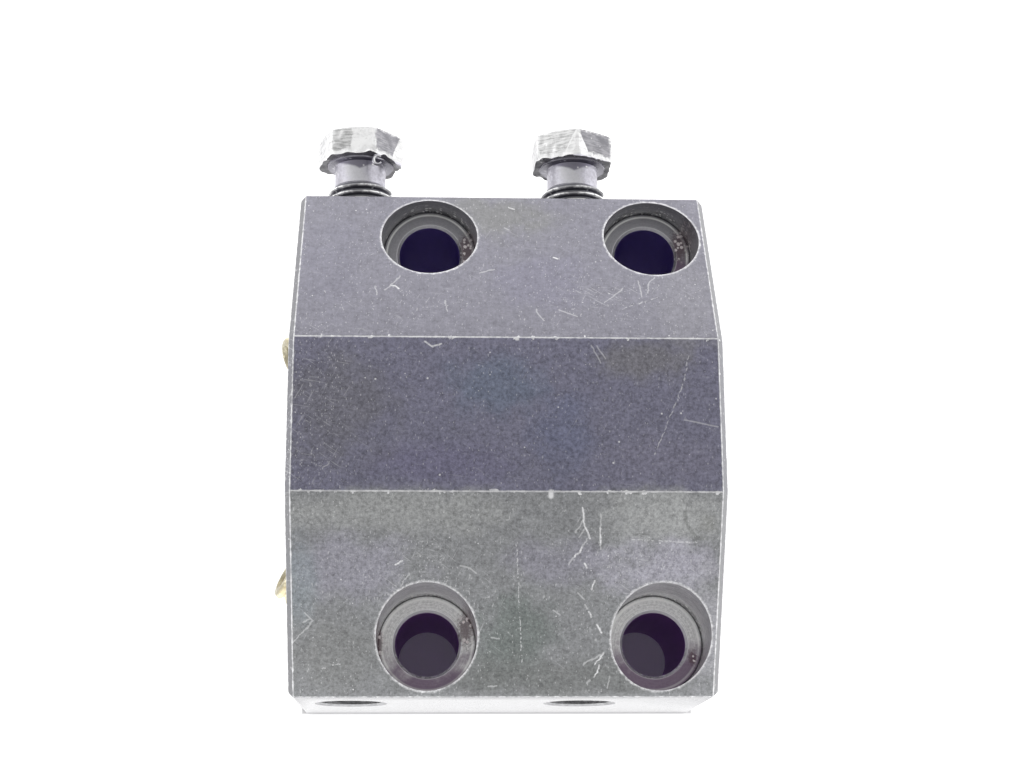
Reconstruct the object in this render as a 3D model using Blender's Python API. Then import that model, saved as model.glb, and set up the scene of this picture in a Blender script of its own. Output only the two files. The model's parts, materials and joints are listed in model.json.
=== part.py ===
# A boring bar holder block for a lathe turret: a steel block with a bar bore along X, four
# counterbored bolt holes, clamp screws from the +Y side and two swivel coolant nozzles in
# the -X end. The base lies on Z = 0 with the origin at its centre. All sizes are in metres.
import math

import bmesh
import bpy
from mathutils import Vector

# Block outline
BLOCK_LENGTH_X = 0.086          # along the bar bore
BLOCK_WIDTH_Y = 0.106           # across the bar bore
BLOCK_HEIGHT = 0.0625           # base to top flat
TOP_FLAT_Y = 0.031              # width of the flat on top
SLOPE_DEG = 30.0                # fall of both shoulders
END_CHAMFER = 0.0011            # round the two end faces
EDGE_BREAK = 0.0004             # along the long edges

# Bar bore
BAR_BORE_DIAMETER = 0.032
BAR_BORE_HEIGHT = 0.026         # bore axis above the base
BAR_BORE_CHAMFER = 0.001

# Bolt holes, for M12 socket-head screws
BOLT_SPACING_X = 0.0465
BOLT_SPACING_Y = 0.0835
BOLT_CENTRE_X = 0.00775         # the pattern sits off the block's centre
BOLT_HOLE_DIAMETER = 0.013
BOLT_HEAD_DIAMETER = 0.020      # counterbore
BOLT_FLOOR_HEIGHT = 0.0345      # counterbore floor above the base
BOLT_HOLE_CHAMFER = 0.0005

# Clamp screws and their tapped holes, M14 x 1.5
SCREW_PITCH = 0.0015
SCREW_DIAMETER = 0.014
SCREW_CLEARANCE = 0.0003        # between the screws and their holes
SCREW_SPACING_X = 0.0473
SCREW_CENTRE_X = -0.00745
COUNTERSINK_PAST_THREAD = 0.0005    # countersink's radius over the screw's
SCREW_TIP_SETBACK = 0.002       # tip above the bar bore's wall
SCREW_TIP_DIAMETER = 0.0095
SCREW_TIP_LENGTH = 0.003
SCREW_THREAD_OUT = 0.0066       # thread that shows outside the block
SCREW_NECK_DIAMETER = 0.0112
SCREW_NECK_LENGTH = 0.0054
HEX_ACROSS_FLATS = 0.017
HEX_HEIGHT = 0.0062
HEX_CHAMFER_DEG = 25.0
HEX_FACE_DIAMETER = 0.0152      # flat left by the chamfer on top
WASHER_FACE_DIAMETER = 0.0145
WASHER_FACE_HEIGHT = 0.0004
HEX_TURN_DEG = {"left": 10.5, "right": 19.0}

# Swivel nozzles in the -X end face
NOZZLE_SPACING_Y = 0.0552
NOZZLE_HEIGHT = 0.00925         # ball centre above the base
BALL_DIAMETER = 0.0124
BALL_DEPTH = 0.0023             # ball centre below the end face
BALL_CLEARANCE = 0.0003
SPOUT_REACH = 0.0074            # ball centre to the mouth
SPOUT_ROOT_DIAMETER = 0.0075
SPOUT_RIM_DIAMETER = 0.009
SPOUT_RIM_LENGTH = 0.0016
SPOUT_RIM_ROUND = 0.0012
SPOUT_BORE_DIAMETER = 0.0042
SPOUT_MOUTH_DIAMETER = 0.0056
SPOUT_MOUTH_DEPTH = 0.0015
NOZZLE_LIFT_DEG = 17.0          # aim above level
NOZZLE_TURN_DEG = {"upper": 21.0, "lower": 26.0}    # aim towards the bar's axis

# Ring and seal behind each ball
RING_DIAMETER = 0.0154
RING_SEAT_DEPTH = 0.0053        # end face to the ring's shoulder
FIT_GAP = 0.0003                # between pieces that seat on each other
SEAL_SECTION = 0.0018
SEAL_MEAN_DIAMETER = 0.0092
COOLANT_HOLE_DIAMETER = 0.005   # from the pocket to the inlet
INLET_HOLE_DIAMETER = 0.006     # up from the base
INLET_SETBACK = 0.014           # inlets in the base, from the end face
INLET_SEAL_SECTION = 0.0018
INLET_SEAL_MEAN_DIAMETER = 0.0092
INLET_GROOVE_DEPTH = 0.0016

# Values that follow from the sizes above
END_X = BLOCK_LENGTH_X / 2
SIDE_Y = BLOCK_WIDTH_Y / 2
SIDE_HEIGHT = BLOCK_HEIGHT - (SIDE_Y - TOP_FLAT_Y / 2) * math.tan(math.radians(SLOPE_DEG))
BORE_RADIUS = BAR_BORE_DIAMETER / 2
EMPTY_HOLE_DIAMETER = SCREW_DIAMETER - SCREW_PITCH     # thread crests of a hole without a screw
INLET_X = INLET_SETBACK - END_X
SCREW_X = {"left": SCREW_CENTRE_X - SCREW_SPACING_X / 2,
           "right": SCREW_CENTRE_X + SCREW_SPACING_X / 2}
NOZZLE_SIDE = {"upper": 1, "lower": -1}
BALL_X = BALL_DEPTH - END_X
BALL_RADIUS = BALL_DIAMETER / 2
SOCKET_RADIUS = BALL_RADIUS + BALL_CLEARANCE
RING_RADIUS = RING_DIAMETER / 2
SEAL_RADIUS = SEAL_SECTION / 2
SEAL_MEAN_RADIUS = SEAL_MEAN_DIAMETER / 2
# the seal touches the ball, so its centre lies on a sphere round the ball's centre
SEAL_BEHIND = math.sqrt((SOCKET_RADIUS + SEAL_RADIUS) ** 2 - SEAL_MEAN_RADIUS ** 2)
SEAL_BORE_RADIUS = SEAL_MEAN_RADIUS + SEAL_RADIUS + FIT_GAP
POCKET_DEPTH = BALL_DEPTH + SEAL_BEHIND + SEAL_RADIUS + FIT_GAP

# Facets round each kind of turned shape
STEPS_BORE = 64
STEPS_BOLT = 40
STEPS_SCREW = 32
STEPS_BALL = 32
STEPS_SEAL = 28
SEAL_SIDES = 10                 # round a seal's section
CUT_PAST = 0.001                # how far a cutter runs past the face it starts from


def clear_scene():
    for obj in list(bpy.data.objects):
        bpy.data.objects.remove(obj, do_unlink=True)


def material(name, colour, roughness, metallic):
    mat = bpy.data.materials.new(name)
    mat.use_nodes = True
    surface = mat.node_tree.nodes["Principled BSDF"]
    surface.inputs["Base Color"].default_value = (*colour, 1.0)
    surface.inputs["Roughness"].default_value = roughness
    surface.inputs["Metallic"].default_value = metallic
    return mat


def add_object(name, bm, mat=None, location=(0, 0, 0), rotation=(0, 0, 0), smooth_deg=14):
    """Put a finished bmesh into the scene as one object, smooth across edges under an angle."""
    bmesh.ops.recalc_face_normals(bm, faces=bm.faces)
    mesh = bpy.data.meshes.new(name)
    bm.to_mesh(mesh)
    bm.free()
    mesh.shade_smooth()
    mesh.set_sharp_from_angle(angle=math.radians(smooth_deg))
    if mat:
        mesh.materials.append(mat)
    obj = bpy.data.objects.new(name, mesh)
    obj.location = location
    obj.rotation_euler = rotation
    bpy.context.collection.objects.link(obj)
    return obj


def lathe(outline, steps, ring=False):
    """Spin (radius, height) points round Z. A ring's outline closes on itself; any other starts
    and ends on the axis."""
    bm = bmesh.new()
    points = [bm.verts.new((radius, 0, height)) for radius, height in outline]
    edges = [bm.edges.new(pair) for pair in zip(points, points[1:])]
    if ring:
        edges.append(bm.edges.new((points[-1], points[0])))
    bmesh.ops.spin(bm, geom=points + edges, axis=(0, 0, 1), cent=(0, 0, 0), dvec=(0, 0, 0),
                   angle=2 * math.pi, steps=steps, use_merge=True)
    bmesh.ops.remove_doubles(bm, verts=bm.verts, dist=1e-6)
    return bm


def arc(centre, radius, start_deg, end_deg, count):
    """Points of an arc in (radius, height), angles from the +radius direction towards +height."""
    angles = [math.radians(start_deg + (end_deg - start_deg) * i / count) for i in range(count + 1)]
    return [(centre[0] + radius * math.cos(a), centre[1] + radius * math.sin(a)) for a in angles]


def cut(target, name, bm, location=(0, 0, 0), rotation=(0, 0, 0)):
    """Take a cutter's shape out of the target."""
    cutter = add_object(name, bm, location=location, rotation=rotation)
    cutter.hide_render = True
    cutter.display_type = "WIRE"
    boolean = target.modifiers.new(name, "BOOLEAN")
    boolean.operation = "DIFFERENCE"
    boolean.solver = "EXACT"
    boolean.object = cutter


def section(inset):
    """The block's outline in (y, z), drawn in by an inset, with each corner broken."""
    half, flat = SIDE_Y - inset, TOP_FLAT_Y / 2
    slope = math.radians(SLOPE_DEG)
    # an inset moves the slope's two ends along the side face and along the top flat
    side_top = SIDE_HEIGHT - inset * math.tan(math.pi / 4 - slope / 2)
    flat_end = flat - inset * math.tan(slope / 2)
    corners = [(-half, inset), (half, inset), (half, side_top), (flat_end, BLOCK_HEIGHT - inset),
               (-flat_end, BLOCK_HEIGHT - inset), (-half, side_top)]
    points = []
    for before, here, after in zip(corners[-1:] + corners[:-1], corners, corners[1:] + corners[:1]):
        here = Vector(here)
        points.append(here + (Vector(before) - here).normalized() * EDGE_BREAK)
        points.append(here + (Vector(after) - here).normalized() * EDGE_BREAK)
    return points


def block_body():
    """The sawn and milled blank: the section run along X, chamfered round both ends."""
    bm = bmesh.new()
    stations = [(-END_X, END_CHAMFER), (END_CHAMFER - END_X, 0),
                (END_X - END_CHAMFER, 0), (END_X, END_CHAMFER)]
    loops = [[bm.verts.new((x, y, z)) for y, z in section(inset)] for x, inset in stations]
    for first, second in zip(loops, loops[1:]):
        for i in range(len(first)):
            bm.faces.new((first[i - 1], first[i], second[i], second[i - 1]))
    bm.faces.new(loops[0])
    bm.faces.new(loops[-1])
    return bm


def bar_bore():
    """The bore and its chamfered mouths, longer than the block at both ends."""
    wide = BORE_RADIUS + BAR_BORE_CHAMFER + CUT_PAST
    half = [(0, END_X + CUT_PAST), (wide, END_X + CUT_PAST), (BORE_RADIUS, END_X - BAR_BORE_CHAMFER)]
    return lathe(half + [(r, -h) for r, h in reversed(half)], STEPS_BORE)


def bolt_hole():
    """Counterbore, chamfered step and clearance hole, with a broken edge at the base."""
    hole, head, c = BOLT_HOLE_DIAMETER / 2, BOLT_HEAD_DIAMETER / 2, BOLT_HOLE_CHAMFER
    return lathe([(0, BLOCK_HEIGHT), (head, BLOCK_HEIGHT), (head, BOLT_FLOOR_HEIGHT),
                  (hole + c, BOLT_FLOOR_HEIGHT), (hole, BOLT_FLOOR_HEIGHT - c), (hole, c),
                  (hole + 2 * c, -c), (0, -c)], STEPS_BOLT)


def tapped_hole(diameter):
    """From the bar's axis out past a side face, with a countersunk mouth. Built along +Z."""
    radius, sink = diameter / 2, SCREW_DIAMETER / 2 + COUNTERSINK_PAST_THREAD
    return lathe([(0, 0), (radius, 0), (radius, SIDE_Y - (sink - radius)),
                  (sink + CUT_PAST, SIDE_Y + CUT_PAST), (0, SIDE_Y + CUT_PAST)], STEPS_SCREW)


def nozzle_pocket():
    """Stepped pocket for ring and seal, then the coolant drilling. Built along +Z from the face."""
    coolant = COOLANT_HOLE_DIAMETER / 2
    drill_end = END_X + INLET_X + INLET_HOLE_DIAMETER / 4
    ring = RING_RADIUS + FIT_GAP
    return lathe([(0, -CUT_PAST), (ring, -CUT_PAST), (ring, RING_SEAT_DEPTH),
                  (SEAL_BORE_RADIUS, RING_SEAT_DEPTH), (SEAL_BORE_RADIUS, POCKET_DEPTH),
                  (coolant, POCKET_DEPTH), (coolant, drill_end), (0, drill_end + coolant / 2)],
                 STEPS_SEAL)


def coolant_inlet():
    """The drilling up from the base, to just above the nozzle's coolant hole."""
    inlet = INLET_HOLE_DIAMETER / 2
    top = NOZZLE_HEIGHT + COOLANT_HOLE_DIAMETER / 2
    return lathe([(0, -CUT_PAST), (inlet, -CUT_PAST), (inlet, top), (0, top + inlet / 2)], STEPS_SEAL)


def inlet_groove():
    """The face groove round an inlet, a land left between it and the drilling."""
    inner = (INLET_SEAL_MEAN_DIAMETER - INLET_SEAL_SECTION) / 2 - FIT_GAP
    outer = (INLET_SEAL_MEAN_DIAMETER + INLET_SEAL_SECTION) / 2 + FIT_GAP
    return lathe([(inner, -CUT_PAST), (outer, -CUT_PAST), (outer, INLET_GROOVE_DEPTH),
                  (inner, INLET_GROOVE_DEPTH)], STEPS_SEAL, ring=True)


def build_block(steel):
    block = add_object("holder_block", block_body(), steel)
    cut(block, "cut_bar_bore", bar_bore(), (0, 0, BAR_BORE_HEIGHT), (0, math.pi / 2, 0))
    for i in (-1, 1):
        for j in (-1, 1):
            place = (BOLT_CENTRE_X + i * BOLT_SPACING_X / 2, j * BOLT_SPACING_Y / 2, 0)
            cut(block, f"cut_bolt_hole_{i}_{j}", bolt_hole(), place)
    for side, x in SCREW_X.items():
        place = (x, 0, BAR_BORE_HEIGHT)
        screw_hole = tapped_hole(SCREW_DIAMETER + 2 * SCREW_CLEARANCE)
        cut(block, f"cut_screw_hole_{side}", screw_hole, place, (-math.pi / 2, 0, 0))
        cut(block, f"cut_empty_hole_{side}", tapped_hole(EMPTY_HOLE_DIAMETER), place, (math.pi / 2, 0, 0))
    for name, side in NOZZLE_SIDE.items():
        y = side * NOZZLE_SPACING_Y / 2
        cut(block, f"cut_pocket_{name}", nozzle_pocket(), (-END_X, y, NOZZLE_HEIGHT), (0, math.pi / 2, 0))
        cut(block, f"cut_inlet_{name}", coolant_inlet(), (INLET_X, y, 0))
        cut(block, f"cut_groove_{name}", inlet_groove(), (INLET_X, y, 0))


def hex_head(bottom):
    """The hexagon, cut down at its corners by the chamfer's cone. A corner points along +X."""
    corner = HEX_ACROSS_FLATS / math.sqrt(3)
    flat_top = HEX_FACE_DIAMETER / 2
    drop = math.tan(math.radians(HEX_CHAMFER_DEG))
    top = bottom + HEX_HEIGHT
    steps = 12
    bm = bmesh.new()
    rims = []
    for k in range(6 * steps):
        # the outline's radius at this angle, from a corner to the middle of a flat and on
        angle = 2 * math.pi * k / (6 * steps)
        off_flat = (angle % (math.pi / 3)) - math.pi / 6
        radius = corner * math.cos(math.pi / 6) / math.cos(off_flat)
        across = Vector((math.cos(angle), math.sin(angle), 0))
        shoulder = top - (radius - flat_top) * drop
        rims.append([bm.verts.new(across * flat_top + Vector((0, 0, top))),
                     bm.verts.new(across * radius + Vector((0, 0, shoulder))),
                     bm.verts.new(across * radius + Vector((0, 0, bottom)))])
    for here, after in zip(rims, rims[1:] + rims[:1]):
        for level in (0, 1):
            bm.faces.new((here[level], here[level + 1], after[level + 1], after[level]))
    bm.faces.new([rim[0] for rim in rims])
    bm.faces.new([rim[-1] for rim in reversed(rims)])
    return bm


def build_clamp_screw(side, steel):
    """One screw, built along +Z from its tip, with its origin where its axis leaves the side face."""
    tip = BORE_RADIUS + SCREW_TIP_SETBACK - SIDE_Y
    radius, point, neck = SCREW_DIAMETER / 2, SCREW_TIP_DIAMETER / 2, SCREW_NECK_DIAMETER / 2
    washer = WASHER_FACE_DIAMETER / 2
    lead = SCREW_PITCH / 2
    neck_top = SCREW_THREAD_OUT + SCREW_NECK_LENGTH
    head_bottom = neck_top + WASHER_FACE_HEIGHT
    inside_head = head_bottom + HEX_HEIGHT / 2
    shank = lathe([(0, tip), (point - lead / 2, tip), (point, tip + lead / 2),
                   (point, tip + SCREW_TIP_LENGTH), (radius, tip + SCREW_TIP_LENGTH + radius - point),
                   (radius, SCREW_THREAD_OUT - lead), (neck, SCREW_THREAD_OUT), (neck, neck_top),
                   (washer, neck_top), (washer, inside_head), (0, inside_head)], STEPS_SCREW)
    # the screw lies along +Y, and its hexagon is turned about that axis
    place = (SCREW_X[side], SIDE_Y, BAR_BORE_HEIGHT)
    rotation = (-math.pi / 2, -math.radians(HEX_TURN_DEG[side]), 0)
    screw = add_object(f"clamp_screw_{side}", shank, steel, place, rotation)
    head = add_object(f"head_{side}", hex_head(head_bottom), None, place, rotation)
    head.hide_render = True
    head.display_type = "WIRE"
    union = screw.modifiers.new("head", "BOOLEAN")
    union.operation = "UNION"
    union.solver = "EXACT"
    union.object = head


def nozzle_outline():
    """The nozzle's turned outline about its own axis: ball, waist and rimmed spout, bored through."""
    root, rim = SPOUT_ROOT_DIAMETER / 2, SPOUT_RIM_DIAMETER / 2
    bore, mouth = SPOUT_BORE_DIAMETER / 2, SPOUT_MOUTH_DIAMETER / 2
    waist = math.degrees(math.acos(root / BALL_RADIUS))
    back = -math.degrees(math.acos(bore / BALL_RADIUS))
    rim_start = SPOUT_REACH - SPOUT_RIM_LENGTH
    ball = arc((0, 0), BALL_RADIUS, back, waist, 14)
    rounded = arc((rim - SPOUT_RIM_ROUND, SPOUT_REACH - SPOUT_RIM_ROUND), SPOUT_RIM_ROUND, 0, 90, 4)
    inside = [(mouth, SPOUT_REACH), (bore, SPOUT_REACH - SPOUT_MOUTH_DEPTH)]
    return ball + [(root, rim_start - (rim - root) / 2), (rim, rim_start)] + rounded + inside


def ring_outline():
    """The ring's section about the nozzle pocket's axis, Z = 0 at the ball's centre and +Z outwards."""
    lip = math.degrees(math.asin(BALL_DEPTH / SOCKET_RADIUS))
    back = BALL_DEPTH + FIT_GAP - RING_SEAT_DEPTH
    return [(RING_RADIUS, back), (RING_RADIUS, BALL_DEPTH)] + [
        (r, h) for r, h in reversed(arc((0, 0), SOCKET_RADIUS, 0, lip, 4))] + [(SOCKET_RADIUS, back)]


def seal_outline(mean_radius, height, width, thickness):
    """A rubber ring's oval section."""
    turns = [2 * math.pi * i / SEAL_SIDES for i in range(SEAL_SIDES)]
    return [(mean_radius + width / 2 * math.cos(a), height + thickness / 2 * math.sin(a)) for a in turns]


def build_nozzle(name, brass, steel, rubber):
    side = NOZZLE_SIDE[name]
    centre = Vector((BALL_X, side * NOZZLE_SPACING_Y / 2, NOZZLE_HEIGHT))
    turn, lift = math.radians(NOZZLE_TURN_DEG[name]), math.radians(NOZZLE_LIFT_DEG)
    aim = Vector((-math.cos(lift) * math.cos(turn), -side * math.cos(lift) * math.sin(turn),
                  math.sin(lift)))
    add_object(f"nozzle_ball_{name}", lathe(nozzle_outline(), STEPS_BALL, ring=True), brass, centre,
               aim.to_track_quat("Z", "Y").to_euler(), 30)
    outwards = (0, -math.pi / 2, 0)
    add_object(f"nozzle_ring_{name}", lathe(ring_outline(), STEPS_BALL, ring=True), steel, centre, outwards)
    seal = seal_outline(SEAL_MEAN_RADIUS, -SEAL_BEHIND, SEAL_SECTION, SEAL_SECTION)
    add_object(f"nozzle_seal_{name}", lathe(seal, STEPS_SEAL, ring=True), rubber, centre, outwards, 50)
    # the inlet seal lies flush in its groove, pressed flat as it is on the turret
    thickness = INLET_GROOVE_DEPTH - FIT_GAP
    flat = seal_outline(INLET_SEAL_MEAN_DIAMETER / 2, thickness / 2, INLET_SEAL_SECTION, thickness)
    add_object(f"inlet_seal_{name}", lathe(flat, STEPS_SEAL, ring=True), rubber, (INLET_X, centre.y, 0),
               smooth_deg=50)


clear_scene()
black_steel = material("black_oxide_steel", (0.27, 0.265, 0.29), 0.42, 0.90)
worn_steel = material("worn_steel", (0.42, 0.42, 0.43), 0.38, 0.95)
ring_steel = material("ring_steel", (0.20, 0.20, 0.20), 0.40, 0.90)
nozzle_brass = material("nozzle_brass", (0.60, 0.46, 0.20), 0.35, 0.95)
seal_rubber = material("seal_rubber", (0.02, 0.02, 0.02), 0.70, 0.0)
build_block(black_steel)
for screw_side in SCREW_X:
    build_clamp_screw(screw_side, worn_steel)
for nozzle_name in NOZZLE_SIDE:
    build_nozzle(nozzle_name, nozzle_brass, ring_steel, seal_rubber)
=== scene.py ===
import json
import math

import bmesh
import bpy
from mathutils import Matrix, Vector, noise


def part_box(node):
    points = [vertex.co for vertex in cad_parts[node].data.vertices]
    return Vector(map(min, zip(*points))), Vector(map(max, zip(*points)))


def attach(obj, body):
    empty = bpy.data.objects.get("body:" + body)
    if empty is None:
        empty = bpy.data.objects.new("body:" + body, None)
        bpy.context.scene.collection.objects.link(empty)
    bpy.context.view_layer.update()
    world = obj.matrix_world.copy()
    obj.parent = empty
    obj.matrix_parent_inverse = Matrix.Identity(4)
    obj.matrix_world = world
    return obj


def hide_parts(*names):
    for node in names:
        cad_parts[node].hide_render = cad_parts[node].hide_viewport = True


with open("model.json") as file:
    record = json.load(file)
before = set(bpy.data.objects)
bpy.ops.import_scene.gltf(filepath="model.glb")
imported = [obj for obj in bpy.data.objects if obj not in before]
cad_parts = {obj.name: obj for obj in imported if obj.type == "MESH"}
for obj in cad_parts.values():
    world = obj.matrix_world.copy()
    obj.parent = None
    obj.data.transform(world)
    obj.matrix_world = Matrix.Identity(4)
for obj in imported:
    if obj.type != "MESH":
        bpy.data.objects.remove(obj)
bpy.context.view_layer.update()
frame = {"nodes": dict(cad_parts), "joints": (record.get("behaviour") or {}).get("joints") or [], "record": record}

# Studio: a white table under soft light from all round, dimmer straight overhead, so the top flat
# reads darker than the shoulders. The camera looks down on the block as the photograph does.
CAMERA_PLACE = (-0.01355, -0.08380, 0.40382)
CAMERA_TURN_DEG = (14.7286, -2.3533, 0.3372)
FOCAL_LENGTH = 63.32            # mm
SENSOR_WIDTH = 36               # mm
NEAREST_SEEN = 0.01
TABLE_REACH = 4.0
TABLE_DROP = 0.0001             # the table lies just under the base face
TABLE_COLOUR = (0.84, 0.84, 0.84, 1)
TABLE_GLOW = (0.84, 0.84, 0.84, 1)      # what the camera and reflections see on top of the lit table
GLOW_UNDER_BLOCK = (0.022, 0.020, 0.027, 1)
GLOW_EDGE = (-0.0002, 0.0006)   # the band past the block's sides over which the glow comes up
NO_GLOW = (0, 0, 0, 1)
LIGHT_AT_HORIZON = 1.66
LIGHT_OVERHEAD = 0.60
HORIZON_HEIGHT = 0.05           # below this height on the unit sphere the light is even


class Paint:
    """A socket in a node tree. Sums written with paints and numbers add Math nodes."""

    def __init__(self, tree, socket=None):
        self.tree = tree
        self.socket = socket

    def node(self, kind, inputs=(), output=0, **settings):
        """Add a node, set it up, feed its sockets with numbers or paints, and hold one output."""
        made = self.tree.nodes.new("ShaderNode" + kind)
        for name, value in settings.items():
            setattr(made, name, value)
        feed(self.tree, made, dict(inputs))
        return Paint(self.tree, made.outputs[output])

    def other(self, output):
        """Another output of the node that this paint comes from."""
        return Paint(self.tree, self.socket.node.outputs[output])

    def math(self, operation, *others):
        return self.node("Math", enumerate((self, *others)), operation=operation)

    def vector(self, operation, *others, output=0):
        return self.node("VectorMath", enumerate((self, *others)), output, operation=operation)

    def __add__(self, other):
        return self.math("ADD", other)

    def __sub__(self, other):
        return self.math("SUBTRACT", other)

    def __rsub__(self, other):
        return self.node("Math", {0: other, 1: self}, operation="SUBTRACT")

    def __mul__(self, other):
        return self.math("MULTIPLY", other)

    def __truediv__(self, other):
        return self.math("DIVIDE", other)

    def __or__(self, other):
        """The larger of two masks."""
        return self.math("MAXIMUM", other)

    def __abs__(self):
        return self.math("ABSOLUTE")

    __radd__ = __add__
    __rmul__ = __mul__

    def ramp(self, low, high, start=0.0, end=1.0):
        """Start below low, end above high, and a smooth change between them."""
        ends = {"Value": self, "From Min": low, "From Max": high, "To Min": start, "To Max": end}
        return self.node("MapRange", ends, interpolation_type="SMOOTHSTEP", clamp=False)

    def fall(self, low, high):
        """1 below low, falling to 0 above high."""
        return self.ramp(low, high, 1.0, 0.0)

    def between(self, low, high):
        """1 from low to high, with a border one wide at each."""
        return self.ramp(low - 1, low + 1) * self.fall(high - 1, high + 1)

    def mix(self, first, second):
        """The first colour where this mask is 0, the second where it is 1."""
        return self.node("Mix", {0: self, 6: first, 7: second}, 2, data_type="RGBA")

    def scaled(self, factor):
        """A colour or a vector times a number."""
        return self.node("VectorMath", {0: self, "Scale": factor}, operation="SCALE")

    def times(self, *factors):
        """A place with each direction times its own factor, so that marks run long or short."""
        return self.vector("MULTIPLY", factors)

    def length(self):
        return self.vector("LENGTH", output="Value")

    def distance(self, point):
        return self.vector("DISTANCE", point, output="Value")

    def bump(self, strength, depth):
        """This height as relief on the surface, where 1 stands for the depth."""
        return self.node("Bump", {"Strength": strength, "Distance": depth, "Height": self})


def feed(tree, node, inputs):
    for name, value in inputs.items():
        if isinstance(value, Paint):
            tree.links.new(value.socket, node.inputs[name])
        else:
            node.inputs[name].default_value = value


def new_material(name):
    mat = bpy.data.materials.new(name)
    mat.use_nodes = True
    return mat, Paint(mat.node_tree)


def finish_material(paint, colour, roughness, **others):
    """Feed the Principled shader. Its other socket names are written with _ for a space."""
    sockets = {name.replace("_", " "): value for name, value in others.items()}
    sockets.update({"Base Color": colour, "Roughness": roughness})
    feed(paint.tree, paint.tree.nodes["Principled BSDF"], sockets)


def place_object(name, mesh, mat):
    obj = bpy.data.objects.new(name, mesh)
    obj.data.materials.append(mat)
    bpy.context.scene.collection.objects.link(obj)
    return obj


scene = bpy.context.scene
scene.view_settings.view_transform = "Standard"
camera = bpy.data.objects.new("camera", bpy.data.cameras.new("camera"))
scene.collection.objects.link(camera)
scene.camera = camera
camera.data.lens = FOCAL_LENGTH
camera.data.sensor_width = SENSOR_WIDTH
camera.data.clip_start = NEAREST_SEEN
camera.location = CAMERA_PLACE
camera.rotation_mode = "ZYX"
camera.rotation_euler = [math.radians(turn) for turn in CAMERA_TURN_DEG]

# the world: even light, falling off towards the zenith; the camera itself sees white
scene.world = bpy.data.worlds.new("studio")
scene.world.use_nodes = True
sky = Paint(scene.world.node_tree)
height = sky.node("SeparateXYZ", {0: sky.node("TexCoord")}, output="Z")
level = height.ramp(HORIZON_HEIGHT, 1.0, LIGHT_AT_HORIZON, LIGHT_OVERHEAD)
seen = sky.node("LightPath", output="Is Camera Ray")
strength = level * (1 - seen) + seen
feed(sky.tree, sky.tree.nodes["Background"], {"Color": (1, 1, 1, 1), "Strength": strength})

# the table glows a little for the camera and for reflections, but not under the block
table_mesh = bpy.data.meshes.new("table")
ends = ((-1, -1), (1, -1), (1, 1), (-1, 1))
corners = [(x * TABLE_REACH, y * TABLE_REACH, -TABLE_DROP) for x, y in ends]
table_mesh.from_pydata(corners, [], [(0, 1, 2, 3)])
table_paint, paint = new_material("white_table")
table = place_object("table", table_mesh, table_paint)
block_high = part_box("holder_block")[1]
across = paint.node("SeparateXYZ", {0: paint.node("NewGeometry", output="Position")})
past_block = (abs(across) - block_high.x) | (abs(across.other("Y")) - block_high.y)
path = paint.node("LightPath", output="Is Camera Ray")
shown = path | path.other("Is Glossy Ray") | path.other("Is Transmission Ray")
glow = shown.mix(NO_GLOW, past_block.ramp(*GLOW_EDGE).mix(GLOW_UNDER_BLOCK, TABLE_GLOW))
finish_material(paint, TABLE_COLOUR, 0.9, Emission_Color=glow, Emission_Strength=1.0, Specular_IOR_Level=0.0)

# Holder block: one piece of tool steel, milled and blackened, its oxide worn grey and scratched.
# Bores and counterbores are cut into it. It sits still, and everything else fixes to it.
TOP_FLAT = 0.031                # width of the top flat, across the bar bore
SLOPE = math.radians(30)        # fall of both shoulders
END_CHAMFER = 0.0011
EDGE_BREAK = 0.0004             # long edges, rounded over
BAR_BORE = 0.032
BAR_BORE_CHAMFER = 0.001
BOLT_HEAD_HOLE = 0.020
BOLT_HOLE = 0.013
BOLT_HOLE_CHAMFER = 0.0005
SCREW_THREAD = 0.014
THREAD_PITCH = 0.0015
SCREW_GAP = 0.0003              # between a clamp screw and its hole
COUNTERSINK = 0.015
RING_HOLE = 0.016               # pocket in the end face for a nozzle's ring
RING_HOLE_DEPTH = 0.0053
SEAL_HOLE = 0.0116
SEAL_HOLE_DEPTH = 0.0086
COOLANT_HOLE = 0.005
INLET_HOLE = 0.006
INLET_SETBACK = 0.014
INLET_GROOVE = (0.0034, 0.0058, 0.0016)     # inner and outer radius, depth
PAST = 0.001                    # how far a cutter runs past the face it starts from
WELD = 1e-7                     # points nearer to each other than this are one point
THREAD_FORM = (0.06, 0.40, 0.60, 0.94)      # root, crest, crest and root, as shares of a pitch
BORE_STEPS, BOLT_STEPS, SMALL_STEPS, INLET_STEPS = 128, 96, 64, 48
BLOCK_SMOOTH_DEG = 20
MM = 1000                       # materials measure in millimetres
openings = {gap["name"]: gap["box_m"] for gap in frame["record"]["physics"]["openings"]}
mounts = {mount["name"]: Vector(mount["pos_m"]) for mount in frame["record"]["mounts"]}
joints = {joint["name"]: joint for joint in frame["joints"]}
half_length, half_width, block_height = block_high.x, block_high.y, block_high.z
side_height = block_height - (half_width - TOP_FLAT / 2) * math.tan(SLOPE)
bolt_floor = mounts["bolt_seat_front_upper"].z


def middle_of(low, high):
    return (Vector(low) + Vector(high)) / 2


bolt_places = [middle_of(*box) for name, box in openings.items() if name.startswith("bolt_hole")]
empty_places = [middle_of(*box) for name, box in openings.items() if name.startswith("empty_clamp_hole")]
bolt_across = max(place.y * MM for place in bolt_places)        # mm from the middle to a bolt's axis
bar_centre = middle_of(*openings["bar_bore"])
screw_places = {side: middle_of(*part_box(f"clamp_screw_{side}")) for side in ("left", "right")}
nozzle_places = {side: Vector(joints[f"nozzle_{side}_swivel"]["pos_m"]) for side in ("upper", "lower")}


def circle(steps):
    return [2 * math.pi * i / steps for i in range(steps + 1)]


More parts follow.
